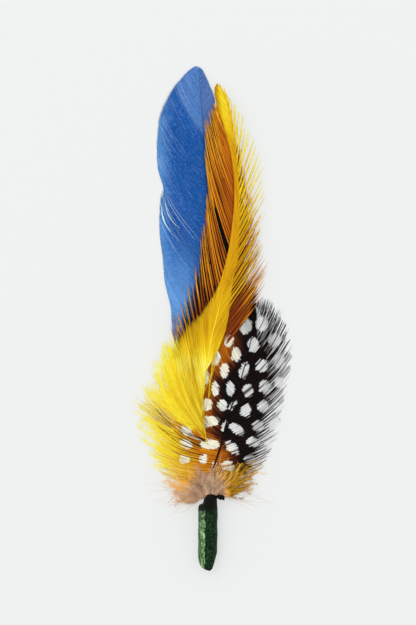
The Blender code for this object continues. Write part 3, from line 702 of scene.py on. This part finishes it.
# Yellow down: the fluffy base of the same feather, still on its shaft.
# Its barbs are soft and curl, with long side branches that don't hook together, so they float apart in
# layers: a lower one near the table, then two that lift over it.
FLUFF_TIPS = [(15.5, -10.5, 19), (17, -13.5, 20.5), (18.5, -17, 23), (20, -19.0, 27.5), (21.5, -20.6, 31.5),
              (23.5, -21.5, 36.5), (26, -21.0, 42), (28.5, -19.5, 46.8), (31, -17.2, 51.5), (34, -14.4, 56),
              (38, -11.5, 59), (43, -9.0, 62)]
FLUFF_BOW = [(15, 0.04), (21, 0.06), (26, 0.12), (32, 0.20), (43, 0.24)]
FLUFF_TONES = [(0.0, "#e8a808"), (0.25, "#f6cc14"), (0.5, "#f8e22c"), (0.75, "#f8ec44"), (1.0, "#f6f068")]


def fluff_dye(tree):
    """Deep yellow between the strands and lemon where they are loose."""
    return ramp(tree, read(tree, "tone"), FLUFF_TONES)


fluff_parts = []
for low, high, count, width, sway, seed in ((1.7, 0.5, 140, 0.42, 0.8, 34), (2.2, 1.2, 140, 0.30, 1.1, 35),
                                            (2.5, 1.9, 120, 0.18, 1.5, 36)):
    down = barb_lines(YELLOW_SHAFT, FLUFF_TIPS, count, 18, seed, bow=FLUFF_BOW, reach=(0.6, 1.06), locks=34,
                      gather=0.55, lock_reach=0.18, sway=sway, root_lift=[(13, low - 0.6), (22, low)],
                      tip_lift=high, scatter=0.2)
    outer = step_up(down["tip"], 0.45, 1.0)
    gold = 0.5 * (down["strand"] > 0.88) * (1 - outer)
    tone = np.clip(0.64 + 0.3 * outer + 0.45 * (down["strand"] - 0.5) - gold, 0, 1)
    fluff = strands(down, width, 0.08, taper=0.25, end=0.2, tone=tone)
    fluff_parts += [fluff, barbules(fluff, 92, 3.1, 0.10, seed + 10, spread=(0.25, 1.1), rise=0.12)]
yellow_down = strand_mesh("yellow_feather_down", fluff_parts)
dress(yellow_down, "yellow_hackle_feather",
      feather_material("yellow_down", fluff_dye, unevenness=0.12, glow=0.24))


# Guinea fowl feather: a dark plume with round pale spots, lying over the others at the base.
# It was dipped in orange dye, so it is black on the right and goes through brown to orange on the
# left and gold at its base. Each spot is white across neighbouring barbs, and the lowest barbs are
# loose beige down.
GUINEA_SHAFT = [(-6, -0.1), (12.2, 0.0), (16.7, 0.75), (20.3, 1.5), (23.2, 2.5), (26.5, 3.6), (30.1, 4.5),
                (37, 6.4), (43, 8.6), (51, 11.0), (60, 13.1), (68, 14.0)]
GUINEA_LEFT = [(16, -12.8, 17.5), (17.3, -14.3, 19.5), (19.1, -15.2, 22), (20.9, -15.8, 25.5),
               (22.6, -15.2, 29), (24.1, -15.2, 32), (25.6, -15.6, 35.6), (27.1, -14.4, 38.0),
               (28.3, -6.4, 33.0), (29.4, -2.6, 33.4), (31.6, -2.0, 39), (34.6, -2.0, 44), (37.5, -2.1, 48.5),
               (40.5, -1.4, 53), (43.5, 0.8, 57), (47, 3.6, 60), (51.3, 6.2, 63), (55.4, 8.4, 65.6),
               (59.6, 10.4, 67.4), (63.8, 12.6, 68.8), (67.3, 14.2, 69.6)]
GUINEA_RIGHT = [(16, 16.4, 18.5), (17.3, 17.2, 21), (19.1, 18.2, 23.8), (20.9, 19.6, 26.6),
                (22.6, 20.8, 29.8), (24.1, 21.7, 33), (25.6, 22.4, 36), (27.1, 22.8, 38.6), (28.3, 23.2, 41),
                (29.8, 23.6, 43.4), (31.6, 24.0, 46.5), (34.6, 24.6, 50.5), (37.5, 24.8, 54.5),
                (40.5, 24.6, 58), (43.5, 24.0, 61.5), (47, 22.8, 64.5), (51.3, 21.4, 67), (55.4, 19.8, 69),
                (59.6, 18.0, 70.4), (63.8, 16.4, 71), (67.3, 15.0, 70.8)]
GUINEA_LIFT = [(12, 2.45), (20, 3.2), (30, 3.3), (44, 0.9)]
GUINEA_LEFT_LIFT = [(12, 2.45), (20, 3.2), (29, 3.3), (31.5, 2.0), (48, 1.9), (54, 0.9)]
# A spot is its centre, its half width and half height, its lean in degrees and how pale it is
SPOTS = [(6.3, 58.4, 1.2, 2.1, -12, 1.0), (13.4, 56.9, 1.8, 2.2, 0, 1.0), (8.3, 54.2, 1.5, 2.1, 0, 1.0),
         (16.1, 50.7, 1.8, 2.0, 0, 1.0), (10.7, 49.2, 1.4, 2.5, -15, 1.0), (4.8, 49.2, 1.2, 2.2, 0, 1.0),
         (-0.9, 47.7, 1.3, 2.4, 0, 0.9), (2.1, 44.0, 1.15, 2.2, 0, 1.0), (6.7, 44.0, 1.3, 2.1, 0, 1.0),
         (11.8, 43.2, 1.65, 1.9, 0, 1.0), (17.0, 44.4, 1.8, 1.95, 0, 1.0), (-0.3, 39.2, 1.4, 1.85, 0, 1.0),
         (4.2, 38.9, 1.35, 1.75, 0, 1.0), (7.3, 39.0, 0.75, 2.0, -32, 0.8), (11.2, 37.4, 1.65, 1.95, 0, 1.0),
         (16.4, 38.6, 1.65, 1.85, 0, 1.0), (0.3, 34.3, 3.0, 1.5, 0, 1.0), (4.8, 32.8, 0.6, 1.8, -15, 0.9),
         (8.6, 31.9, 2.5, 1.3, -35, 1.0), (14.9, 32.9, 1.8, 1.65, 0, 1.0), (0.6, 27.6, 2.8, 1.35, 0, 1.0),
         (7.2, 26.5, 2.5, 1.35, -45, 1.0), (13.4, 28.0, 1.95, 1.45, -15, 1.0), (12.5, 22.9, 1.8, 1.35, 0, 0.7),
         (6.0, 21.2, 2.1, 1.5, -20, 0.85), (1.9, 21.5, 0.8, 1.2, 0, 0.5), (-1.3, 23.2, 1.2, 1.35, -30, 0.8),
         (-6.3, 31.6, 1.9, 0.95, -35, 1.0), (-6.6, 27.7, 2.1, 1.35, -10, 0.9), (-7.0, 23.2, 1.65, 1.2, 0, 0.7),
         (11.0, 62.6, 2.1, 2.4, 0, 0.9), (16.1, 63.2, 1.9, 2.3, 0, 0.9), (1.8, 53.3, 1.8, 2.4, 0, 0.9),
         (19.9, 58.4, 2.1, 2.2, 0, 0.9), (21.2, 51.9, 1.8, 2.2, 0, 0.9), (21.5, 45.6, 1.8, 1.8, 0, 0.9),
         (21.5, 37.8, 1.9, 1.7, 0, 0.9), (20.0, 33.0, 1.8, 2.2, 0, 0.9), (18.8, 27.1, 1.9, 1.9, 0, 0.9)]
SPOT_EDGE = 0.10
GUINEA_TONES = [(0.0, "#060404"), (0.16, "#200a04"), (0.32, "#582208"), (0.48, "#b05e0c"),
                (0.62, "#d8880e"), (0.76, "#e4a818"), (1.0, "#f0cc40")]


def spotted(lines, seed, stagger=0.27):
    """How much each point of the barbs is inside a pale spot, with a little stagger between barbs."""
    rng = np.random.default_rng(seed)
    x = lines["line"][:, :, 0] + rng.uniform(-stagger, stagger, (len(lines["line"]), 1))
    y = lines["line"][:, :, 1] + rng.uniform(-stagger, stagger, (len(x), 1))
    pale = np.zeros(x.shape)
    for spot_x, spot_y, half_x, half_y, lean, strength in SPOTS:
        turn = math.radians(lean)
        dx, dy = x - spot_x, y - spot_y
        u = (dx * math.cos(turn) + dy * math.sin(turn)) / half_x
        v = (dy * math.cos(turn) - dx * math.sin(turn)) / half_y
        inside = 1 - step_up(np.sqrt(u * u + v * v), 1 - SPOT_EDGE, 1 + SPOT_EDGE)
        pale = np.maximum(pale, strength * inside)
    return pale


def guinea_tone(lines):
    """From black on the right through brown to orange on the left, and golden towards the base."""
    x, y = lines["line"][:, :, 0], lines["line"][:, :, 1]
    shifted = x - 6.0 * step_up(y, 44, 55) - 5.0 * (1 - step_up(y, 23, 31))
    tone = along([(-16, 1.0), (-11, 0.84), (-6, 0.64), (-1.5, 0.54), (0.8, 0.46), (2.2, 0.32), (3.6, 0.25), (5.2, 0.04)],
                 shifted)
    golden = 1 - step_up(y - 0.2 * np.abs(x), 12, 20)
    tone = tone * (1 - golden) + np.maximum(tone, 0.7) * golden
    return np.clip(tone + 0.14 * (lines["strand"] - 0.5), 0, 1)


def guinea_dye(tree):
    """The dip-dyed plume: its tones, with spots that are white on black and cream where it is dyed."""
    tone = read(tree, "tone")
    colour = ramp(tree, tone, GUINEA_TONES)
    spot = tint(tree, mask(tree, tone, 0.1, 0.34), dye("#eff0ef"), dye("#fffbe6"))
    return tint(tree, mask(tree, read(tree, "mark"), 0.15, 0.6), colour, spot)


def cut_back(lines, first):
    """The outer part of every strand, from one of its stations to its tip."""
    count, stations = lines["line"].shape[:2]
    return {name: value[:, first:] if value.ndim > 1 else value for name, value in lines.items()}


guinea_parts = []
for tips, tip_lift, seed in ((GUINEA_LEFT, GUINEA_LEFT_LIFT, 41), (GUINEA_RIGHT, 0.0, 42)):
    left = tips is GUINEA_LEFT
    web_reach = ([(17, 0.7), (26, 0.66), (28, 1.0), (68, 0.96)] if left else
                 [(17, 0.75), (24, 0.72), (42, 0.6), (50, 0.46), (56, 0.34), (60, 0.28), (67, 0.3)])
    under = barb_lines(GUINEA_SHAFT, tips, 150, 36, seed + 10, bow=0.13, start=17.5, uneven=0.15,
                       root_lift=[(h, v - 0.08) for h, v in GUINEA_LIFT], tip_lift=tip_lift,
                       reach_by_root=web_reach)
    faint = 0.5 + 0.5 * (1 - step_up(under["line"][:, :, 0], 4.0, 8.0))
    thinning = 0.0 if left else 0.92 * step_up(under["rise"], 47, 55) * np.linspace(0.35, 1, 36)
    guinea_parts.append(strands(under, 0.60 * (1 - thinning), 0.04, taper=0.6, end=0.1,
                                tone=guinea_tone(under) - 0.05,
                                mark=spotted(under, seed) * faint))
    ridges = barb_lines(GUINEA_SHAFT, tips, 84 if left else 74, 46, seed, bow=0.13, start=16.5,
                        reach=(0.88, 1.03), uneven=0.15, sway=0.3 if left else 0.15, root_lift=GUINEA_LIFT, tip_lift=tip_lift,
                        scatter=0.03)
    slender = along([(16, 0.42), (50, 0.42), (58, 0.24), (62, 0.13), (67, 0.1)], ridges["rise"])
    striped = 1.0 if left else 1 - 0.75 * (ridges["strand"] > 0.86)
    ridge = strands(ridges, slender, 0.14, taper=0.4, end=0.12 if left else 0.4, tone=guinea_tone(ridges),
                    mark=spotted(ridges, seed) * striped)
    guinea_parts += [ridge, barbules(ridge, 72, 0.9, 0.03, seed + 20, start=0.45, stop=0.97 if left else 0.8,
                                     rise=0.2)]
# Dark and cream barbs at the top edge of the dyed lower vane, which lies over the yellow down
for count, start, stop, dark, pale, seed in ((9, 25.2, 28.4, 0.2, 0.0, 45), (3, 26.6, 28.2, 0.3, 0.9, 46),
                                             (5, 22.5, 26.5, 0.3, 0.0, 47)):
    edge = barb_lines(GUINEA_SHAFT, GUINEA_LEFT, count, 24, seed, bow=0.13, start=start, stop=stop,
                      reach=(0.7, 1.12), uneven=0.45, sway=0.7, root_lift=3.4, tip_lift=3.1)
    guinea_parts.append(strands(cut_back(edge, 6), 0.24, 0.12, taper=0.3, end=0.2, tone=dark, mark=pale))
# Fine ends that blur the right edge
fringe = barb_lines(GUINEA_SHAFT, GUINEA_RIGHT, 100, 18, 48, bow=0.13, start=19, stop=64, reach=(0.85, 1.06), sway=0.3,
                    root_lift=GUINEA_LIFT, tip_lift=0.3, uneven=0.5)
fringe = cut_back(fringe, 9)
guinea_parts.append(strands(fringe, 0.12, 0.08, taper=0.4, end=0.4, tone=0.04,
                            mark=0.5 * spotted(fringe, 48)))
guinea_parts.append(quill(GUINEA_SHAFT, [(-6, 0.42), (20, 0.34), (44, 0.22), (68, 0.08)], GUINEA_LIFT,
                          tone=along([(12, 0.8), (17, 0.5), (24, 0.2), (30, 0.02)],
                                     np.linspace(-6, 68, 70))))
guinea_feather = strand_mesh("guinea_feather_barbs", guinea_parts)
dress(guinea_feather, "guinea_fowl_feather",
      feather_material("spotted_dipped_feather", guinea_dye, unevenness=0.3))


# Down at the base of the guinea fowl feather: beige fluff with peach and olive gold dye at its edges.
# It bursts out of the rim of the tape to every side and hides the quills.
DOWN_SHAFT = [(11.1, -2.3), (11.9, 0.2), (12.7, 2.6)]
# Each row: the place of the root, then of the tip, from the lower left round to the lower right
DOWN_TIPS = [(11.1, -7.0, 11.0), (11.2, -10.5, 12.2), (11.3, -12.6, 14.6), (11.4, -14, 18.6), (11.5, -13.2, 22.8),
             (11.6, -9.5, 23.4), (11.7, -5.4, 22), (11.8, -2, 21), (11.9, 1.0, 20.4), (12, 4, 20),
             (12.1, 8, 20), (12.2, 11.5, 21.5), (12.3, 15.4, 23.8), (12.4, 16.2, 20), (12.5, 14.6, 16),
             (12.6, 12, 14.2), (12.7, 9.5, 13.4)]
TUFT_SHAFT = [(11.6, -1.9), (12.4, 0.2), (12.9, 2.2)]
TUFT_TIPS = [(11.6, -8.4, 15.5), (11.85, -5.6, 18.4), (12.1, -2.4, 20.6), (12.4, 0.6, 21.4), (12.65, 3.2, 19.6),
             (12.9, 6, 16.8)]
DOWN_TIP_LIFT = [(11.1, 0.6), (11.25, 1.5), (11.4, 3.3), (11.8, 3.5), (12.15, 3.4), (12.4, 1.8), (12.7, 0.8)]
DOWN_TONES = [(0.0, "#70500e"), (0.2, "#b08216"), (0.4, "#fcc840"), (0.6, "#f0c07c"), (0.8, "#d4b08e"),
              (0.92, "#b49078"), (1.0, "#8c6a52")]
WISP_TIPS = ([(11.12, -14.5, 4.8), (11.25, -17.5, 9), (11.4, -19.5, 16.5), (11.5, -16.5, 22)],
             [(12.4, 19, 15), (12.55, 20.5, 11), (12.68, 18, 7.5)])


def down_tone(lines):
    """Beige low down and in the middle, peach at the upper left and olive gold on the right."""
    place = lines["rise"]
    tone = along([(11.1, 0.78), (11.32, 0.72), (11.44, 0.42), (11.62, 0.42), (11.75, 0.85), (11.95, 0.9),
                  (12.05, 0.26), (12.7, 0.14)], place)
    reach = np.linalg.norm(lines["line"][:, :, :2] - lines["line"][:, :1, :2], axis=2)
    near = 1 - step_up(reach, 2.0, np.where(place > 12.05, 4.5, 7.5))
    tone = tone + 0.12 * (place > 12.1) * step_up(lines["tip"], 0.6, 1.0)
    return np.clip(tone * (1 - near) + 0.88 * near + 0.2 * (lines["strand"] - 0.5), 0, 1)


def down_dye(tree):
    """The dyes of the loose down, with some cream barbs among it."""
    return tint(tree, read(tree, "mark"), ramp(tree, read(tree, "tone"), DOWN_TONES), dye("#f4e4c6"))


down_parts = []
for count, width, sway, lift, seed in ((140, 0.30, 0.9, -0.3, 51), (140, 0.15, 1.4, 0.1, 52)):
    down = barb_lines(DOWN_SHAFT, DOWN_TIPS, count, 18, seed, bow=0.0, reach=(0.4, 1.06), locks=44,
                      gather=0.5, sway=sway, root_lift=2.3 + lift, scatter=0.25,
                      tip_lift=[(h, v + lift) for h, v in DOWN_TIP_LIFT])
    loose = strands(down, width, 0.10, taper=0.2, end=0.2, tone=down_tone(down),
                    mark=0.35 * (down["strand"] > 0.7) * (down["rise"] < 11.9))
    down_parts += [loose, barbules(loose, 100, 2.0, 0.08, seed + 10, spread=(0.3, 1.1), rise=0.12)]
tuft = barb_lines(TUFT_SHAFT, TUFT_TIPS, 84, 14, 53, bow=0.0, reach=(0.3, 0.95), sway=1.3, root_lift=3.1,
                  tip_lift=4.3, scatter=0.3)
short = strands(tuft, 0.09, 0.07, taper=0.3, end=0.3, mark=0.4 * (tuft["strand"] < 0.25),
                tone=0.76 + 0.24 * tuft["strand"])
down_parts += [short, barbules(short, 64, 2.4, 0.06, 54, spread=(0.3, 1.3), rise=0.15)]
cream = barb_lines(TUFT_SHAFT, [(12.4, 1.9, 21.8), (12.5, 4.8, 25.4), (12.6, 7.6, 24.8), (12.7, 10.6, 22.4)],
                   6, 18, 55, bow=0.0, reach=(0.8, 1.02), uneven=0.4, sway=0.5, root_lift=3.2, tip_lift=4.6)
down_parts.append(strands(cut_back(cream, 4), 0.17, 0.12, taper=0.3, end=0.3, tone=0.75, mark=0.45))
for tips, seed in zip(WISP_TIPS, (56, 57)):
    wisps = barb_lines(DOWN_SHAFT, tips, 9, 24, seed, bow=0.05, reach=(0.7, 1.0), uneven=0.4, sway=1.4,
                       root_lift=2.6, tip_lift=0.6)
    down_parts.append(strands(wisps, 0.08, 0.06, taper=0.3, end=0.3, tone=0.86))
# Wisps at the tips of the dyed vane, out over the yellow down
far_wisps = barb_lines(GUINEA_SHAFT, [(25.0, -20.5, 39), (26, -23, 42.2), (27.5, -21.5, 46)], 16, 26, 58, bow=0.1,
                       reach=(0.75, 1.0), uneven=0.4, sway=0.8, root_lift=3.4, tip_lift=2.6)
down_parts.append(strands(cut_back(far_wisps, 16), 0.13, 0.08, taper=0.3, end=0.3, tone=0.92, mark=0.1))
guinea_down = strand_mesh("guinea_feather_down", down_parts)
dress(guinea_down, "guinea_fowl_feather",
      feather_material("dipped_down", down_dye, unevenness=0.2, glow=0.2))


# Stem wrap: green crepe floral tape wound tight round the four quills, cut off at a slant below.
# One edge of the tape runs down the front, and its loose end stands off at the rim on the right.
STEM_WIDTH, STEM_HEIGHT = 5.85, 5.7
STEM_SIDES, STEM_RINGS = 120, 110
# The slanting cut: how low the tape reaches from left to right
STEM_CUT = [(-2.9, -7.9), (-2.3, -8.9), (-1.0, -9.5), (0.6, -9.9), (1.5, -9.3), (2.2, -7.4), (2.9, -5.2)]
# The ragged rim: how high the tape reaches from left to right
STEM_RIM = [(-2.9, 9.4), (-1.8, 9.7), (-1.2, 11.2), (-0.5, 12.7), (1.2, 13.0), (2.1, 12.8), (2.9, 12.6)]
FOOT_HALF_ANGLE = 31.0
TAPE_EDGE_X = -0.9


def stem_surface(angle, share):
    """A point on the tape at an angle round the stem and a share of the way from the cut to the rim."""
    degrees = math.degrees(angle) % 360
    x = STEM_WIDTH / 2 * math.cos(angle)
    cut = float(along(STEM_CUT, x))
    rim = float(along(STEM_RIM, x))
    y = cut + (rim - cut) * share
    edge_angle = math.degrees(math.acos(TAPE_EDGE_X / (STEM_WIDTH / 2))) + 4 * math.sin(y * 0.45)
    layer = 0.14 if edge_angle < degrees < 215 else 0.0
    crepe = 0.09 * noise.noise((math.cos(angle) * 9, math.sin(angle) * 9, y * 0.45))
    lumps = 0.16 * noise.noise((math.cos(angle) * 1.3, math.sin(angle) * 1.3, y * 0.28 + 7))
    fine = 0.03 * noise.noise((math.cos(angle) * 30, math.sin(angle) * 30, y * 3.0))
    ends = 1 - 0.10 * math.exp(-share * 60) - 0.10 * math.exp(-(1 - share) * 30)
    radial = (layer + crepe + lumps + fine) * min(1.0, share * 12)
    x = (STEM_WIDTH / 2 - 0.15 + radial) * ends * math.cos(angle)
    z = STEM_HEIGHT / 2 + (STEM_HEIGHT / 2 - 0.15 + radial) * ends * math.sin(angle)
    if abs((degrees - 270 + 180) % 360 - 180) <= FOOT_HALF_ANGLE:
        z = 0.01
    return Vector((x, y, max(z, 0.01))) * MM


def tape_material():
    """Waxy crepe tape: fine lengthwise wrinkles, and an outer layer left of the tape's edge painted paler as the lit
    side, with painted highlight specks and painted shadow towards the rim.
    """
    material, tree, shader = new_material("crepe_floral_tape", 0.5)
    x, y = place_in_mm(tree)
    where = add(tree, "ShaderNodeTexCoord").outputs["Object"]
    stretched = add(tree, "ShaderNodeMapping", {"Vector": where, "Scale": (3200.0, 420.0, 3200.0)})
    crepe = add(tree, "ShaderNodeTexNoise", {"Vector": stretched.outputs[0], "Scale": 1.0, "Detail": 4.0,
                                             "Roughness": 0.6}).outputs["Fac"]
    cloud = speckle(tree, 700.0)
    colour = ramp(tree, mask(tree, crepe, 0.3, 0.72), [(0.0, "#020a03"), (0.5, "#0a2310"), (1.0, "#1e4422")])
    # Painted light: left of the tape's edge the outer layer is painted paler as the side the light falls on, and
    # darker again at the far left edge as painted shade where the stem turns away
    lit_side_x = calc(tree, "ADD", x, calc(tree, "MULTIPLY", calc(tree, "SUBTRACT", cloud, 0.5), 1.2))
    lit_side = calc(tree, "MULTIPLY", mask(tree, lit_side_x, -0.75, -1.1),
                calc(tree, "SUBTRACT", 1.0, calc(tree, "MULTIPLY", mask(tree, lit_side_x, -2.1, -2.7), 0.55)))
    pale = ramp(tree, mask(tree, crepe, 0.32, 0.7), [(0.0, "#2c5a28"), (0.55, "#548446"), (1.0, "#8db07c")])
    colour = tint(tree, lit_side, colour, pale)
    # Grainy flecks, pale on the painted lit side and dark green elsewhere
    grit = speckle(tree, 1900.0, 2.0)
    fleck = ramp(tree, lit_side, [(0.0, "#2f5a30"), (1.0, "#b4c8aa")])
    colour = tint(tree, calc(tree, "MULTIPLY", mask(tree, grit, 0.52, 0.66), 0.6), colour, fleck)
    colour = tint(tree, calc(tree, "MULTIPLY", mask(tree, grit, 0.5, 0.36), 0.7), colour, dye("#04100a"))
    # Painted highlight: pale specks on the crepe ridges along a line left of the tape's edge, standing in for gloss
    glint_specks = calc(tree, "MULTIPLY", mask(tree, crepe, 0.55, 0.66), mask(tree, calc(tree, "ABSOLUTE", calc(
        tree, "ADD", lit_side_x, 1.5)), 0.7, 0.3))
    colour = tint(tree, calc(tree, "MULTIPLY", glint_specks, 0.8), colour, dye("#c6d8bd"))
    # Painted shadow: the tape turns near-black towards the rim, where the down over it shades it, with a cloudy,
    # uneven edge
    shade_height = calc(tree, "SUBTRACT", y, calc(tree, "MULTIPLY", cloud, 2.0))
    shadow = mask(tree, calc(tree, "SUBTRACT", shade_height, calc(tree, "MULTIPLY", x, 0.25)), 5.8, 7.8)
    colour = tint(tree, calc(tree, "MULTIPLY", shadow, 0.95), colour, dye("#0a0805"))
    bump = add(tree, "ShaderNodeBump", {"Height": calc(tree, "ADD", crepe, calc(tree, "MULTIPLY", cloud, 0.5)),
                                        "Strength": 0.7, "Distance": 0.00012})
    plug(tree, colour, shader.inputs["Base Color"])
    plug(tree, bump.outputs["Normal"], shader.inputs["Normal"])
    plug(tree, calc(tree, "ADD", 0.34, calc(tree, "MULTIPLY", crepe, 0.3)), shader.inputs["Roughness"])
    shader.inputs["Specular IOR Level"].default_value = 0.08
    return material


def grow(edges, share, shape):
    """Extrudes a ring of edges once and puts each new point where the shape says."""
    fresh = bmesh.ops.extrude_edge_only(bm, edges=edges)["geom"]
    points = {g for g in fresh if isinstance(g, bmesh.types.BMVert)}
    for vert in points:
        vert.co = shape(vert[turn], share)
    return [g for g in fresh if isinstance(g, bmesh.types.BMEdge) and all(v in points for v in g.verts)]


def bore(angle, share):
    """Inside the rim, where the tape dives between the quills."""
    outside = stem_surface(angle, 1.0) / MM
    centre = Vector((0.0, outside.y, STEM_HEIGHT / 2))
    narrow = 1.0 - 0.35 * min(1.0, share * 2)
    return (centre + (outside - centre) * narrow - Vector((0.0, 2.2 * max(0.0, share - 0.4), 0.0))) * MM


bm = bmesh.new()
turn = bm.verts.layers.float.new("turn")
for vert in bmesh.ops.create_circle(bm, cap_ends=False, segments=STEM_SIDES, radius=1.0)["verts"]:
    vert[turn] = math.atan2(vert.co.y, vert.co.x)
    vert.co = stem_surface(vert[turn], 0.0)
cut_edges = list(bm.edges)
edges = cut_edges
for step in range(1, STEM_RINGS + 1):
    edges = grow(edges, step / STEM_RINGS, stem_surface)
for step in range(1, 6):
    edges = grow(edges, step / 5, bore)
bmesh.ops.contextual_create(bm, geom=edges)
bmesh.ops.contextual_create(bm, geom=cut_edges)

# The loose end of the tape: a small curled flap
FLAP_PLACE, FLAP_LENGTH, FLAP_WIDTH, FLAP_THICKNESS = (2.3, 11.5, 4.4), 2.6, 1.9, 0.12
flap = bmesh.ops.create_grid(bm, x_segments=10, y_segments=6, size=0.5)["verts"]
for vert in flap:
    out, up = vert.co.x + 0.5, vert.co.y + 0.5
    ragged = 0.5 * noise.noise((out * 3, up * 4, 3.0))
    vert.co = Vector((FLAP_PLACE[0] + FLAP_LENGTH * out, FLAP_PLACE[1] + FLAP_WIDTH * up * (1 - 0.35 * out)
                      - 0.5 * out + ragged, FLAP_PLACE[2] + 0.7 * math.sin(out * 2.4) - 0.5 * up)) * MM
flap_faces = list({face for vert in flap for face in vert.link_faces})
bmesh.ops.solidify(bm, geom=flap_faces, thickness=FLAP_THICKNESS * MM)
bmesh.ops.recalc_face_normals(bm, faces=bm.faces[:])
stem_mesh = bpy.data.meshes.new("wrapped_stem")
bm.to_mesh(stem_mesh)
bm.free()
stem_mesh.shade_smooth()
stem_mesh.set_sharp_from_angle(angle=math.radians(50))
stem = bpy.data.objects.new("wrapped_stem", stem_mesh)
bpy.context.scene.collection.objects.link(stem)
dress(stem, "stem_wrap", tape_material())
